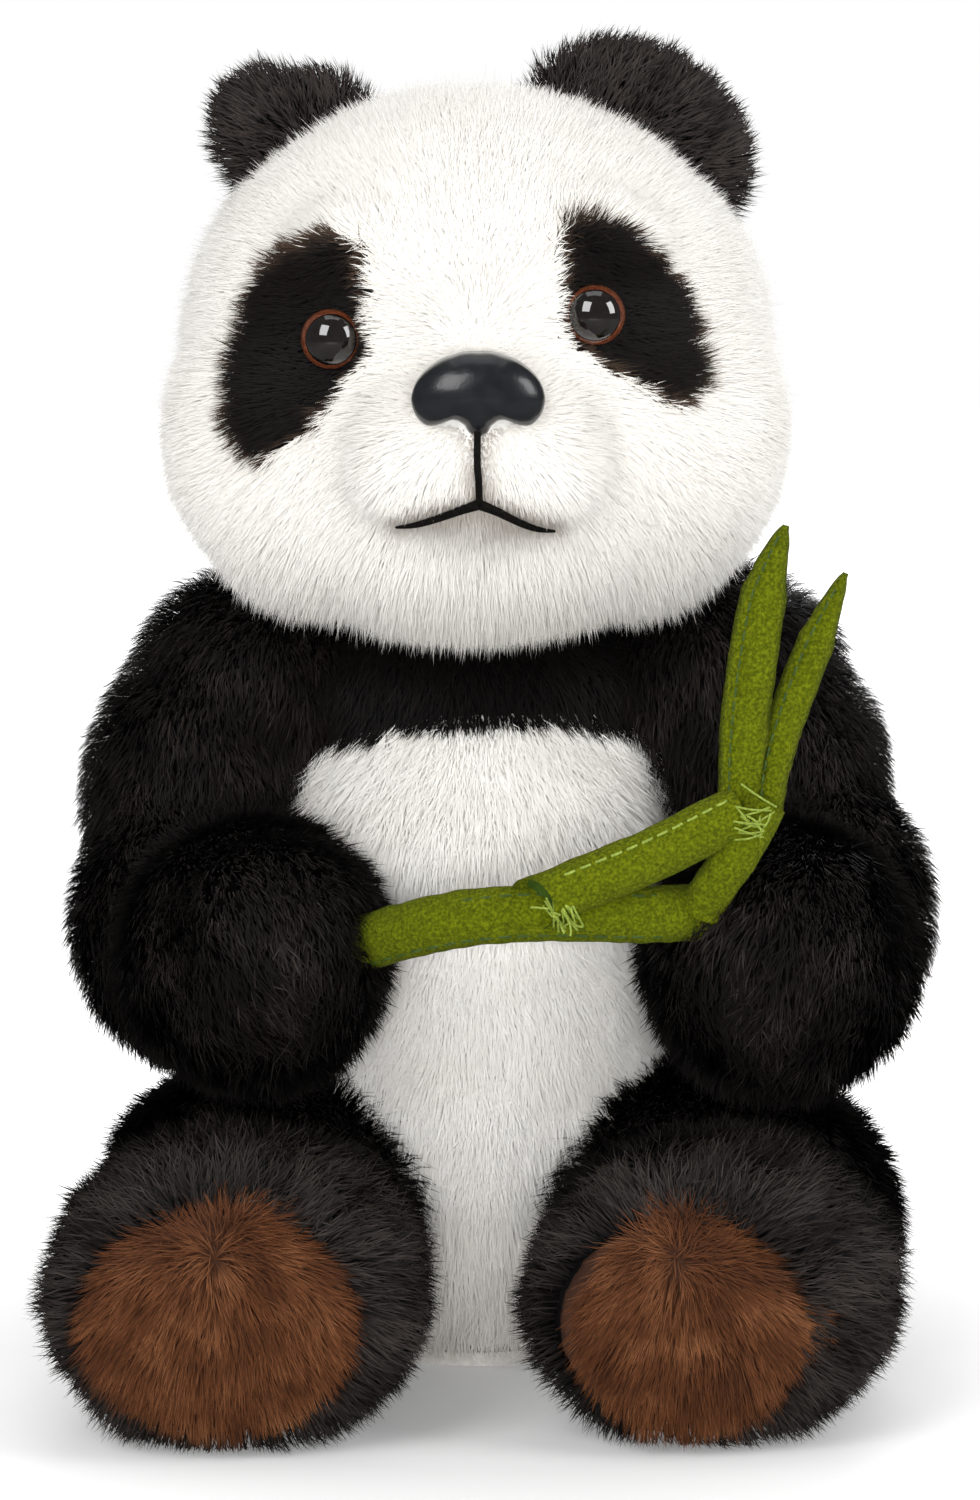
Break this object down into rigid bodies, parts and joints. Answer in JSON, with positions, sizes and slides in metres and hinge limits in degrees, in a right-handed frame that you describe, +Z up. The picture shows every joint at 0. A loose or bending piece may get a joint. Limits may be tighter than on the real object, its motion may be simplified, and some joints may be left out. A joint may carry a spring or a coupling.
{
  "type": "plush panda",
  "caption": "Seated black and white plush panda with brown soles, moulded eyes and nose, holding a felt bamboo sprig in both paws.",
  "frame": {"origin": "middle of the toy's box on the surface that it sits on", "axes": "+Z up, the face looks along -Y, +X on the toy's own left-hand side"},
  "size_m": [0.187, 0.1822, 0.2865],
  "materials": {
    "white_plush": "matte",
    "white_body_plush": "matte",
    "patch_plush": "matte",
    "black_plush": "matte",
    "brown_plush": "matte",
    "eye_plastic": "polished",
    "nose_plastic": "gloss",
    "washer_plastic": "satin",
    "black_thread": "matte",
    "green_thread": "matte",
    "green_felt": "matte",
    "stuffing": "matte",
    "bag_cloth": "matte",
    "seat_cloth": "matte"
  },
  "bodies": {
    "torso": {"yoke_cover": "black_plush", "belly_cover": "white_body_plush", "back_cover": "white_body_plush", "seat_panel": "seat_cloth", "pellet_bag": "bag_cloth", "body_stuffing": "stuffing", "tail": "white_body_plush"},
    "head": {"ear_left": "black_plush", "ear_right": "black_plush", "eye_left": "eye_plastic", "eye_patch_left": "patch_plush", "eye_patch_right": "patch_plush", "eye_right": "eye_plastic", "eye_washer_left": "washer_plastic", "eye_washer_right": "washer_plastic", "face_cover": "white_plush", "head_back_cover": "white_plush", "head_stuffing": "stuffing", "mouth_thread": "black_thread", "nose": "nose_plastic", "nose_washer": "washer_plastic"},
    "arm_left": {"arm_cover_left": "black_plush", "arm_stuffing_left": "stuffing", "bamboo_branch": "green_felt", "bamboo_filling": "stuffing", "bamboo_leaf_long": "green_felt", "bamboo_leaf_short": "green_felt", "bamboo_stalk": "green_felt", "bamboo_tie_lower": "green_thread", "bamboo_tie_upper": "green_thread", "bamboo_twig": "green_felt"},
    "arm_right": {"arm_cover_right": "black_plush", "arm_stuffing_right": "stuffing"},
    "leg_left": {"leg_cover_left": "black_plush", "leg_stuffing_left": "stuffing", "sole_pad_left": "brown_plush"},
    "leg_right": {"leg_cover_right": "black_plush", "leg_stuffing_right": "stuffing", "sole_pad_right": "brown_plush"}
  },
  "joints": [
    {"name": "head_turn", "type": "hinge", "parent": "torso", "child": "head", "pos_m": [-0.0025, 0.01312, 0.157], "axis": [0, 0, 1], "range_deg": [-25, 25]},
    {"name": "arm_lift_left", "type": "hinge", "parent": "torso", "child": "arm_left", "pos_m": [0.0565, 0.01912, 0.141], "axis": [-1, 0, 0], "range_deg": [0, 25]},
    {"name": "arm_lift_right", "type": "hinge", "parent": "torso", "child": "arm_right", "pos_m": [-0.0615, 0.01912, 0.141], "axis": [-1, 0, 0], "range_deg": [0, 25]},
    {"name": "leg_splay_left", "type": "hinge", "parent": "torso", "child": "leg_left", "pos_m": [0.0355, 0.00512, 0.0335], "axis": [0, 0, 1], "range_deg": [0, 25]},
    {"name": "leg_splay_right", "type": "hinge", "parent": "torso", "child": "leg_right", "pos_m": [-0.0405, 0.00512, 0.0335], "axis": [0, 0, -1], "range_deg": [0, 25]}
  ],
  "couplings": [
    {"joint": "arm_lift_right", "follows": "arm_lift_left", "ratio": 1}
  ]
}
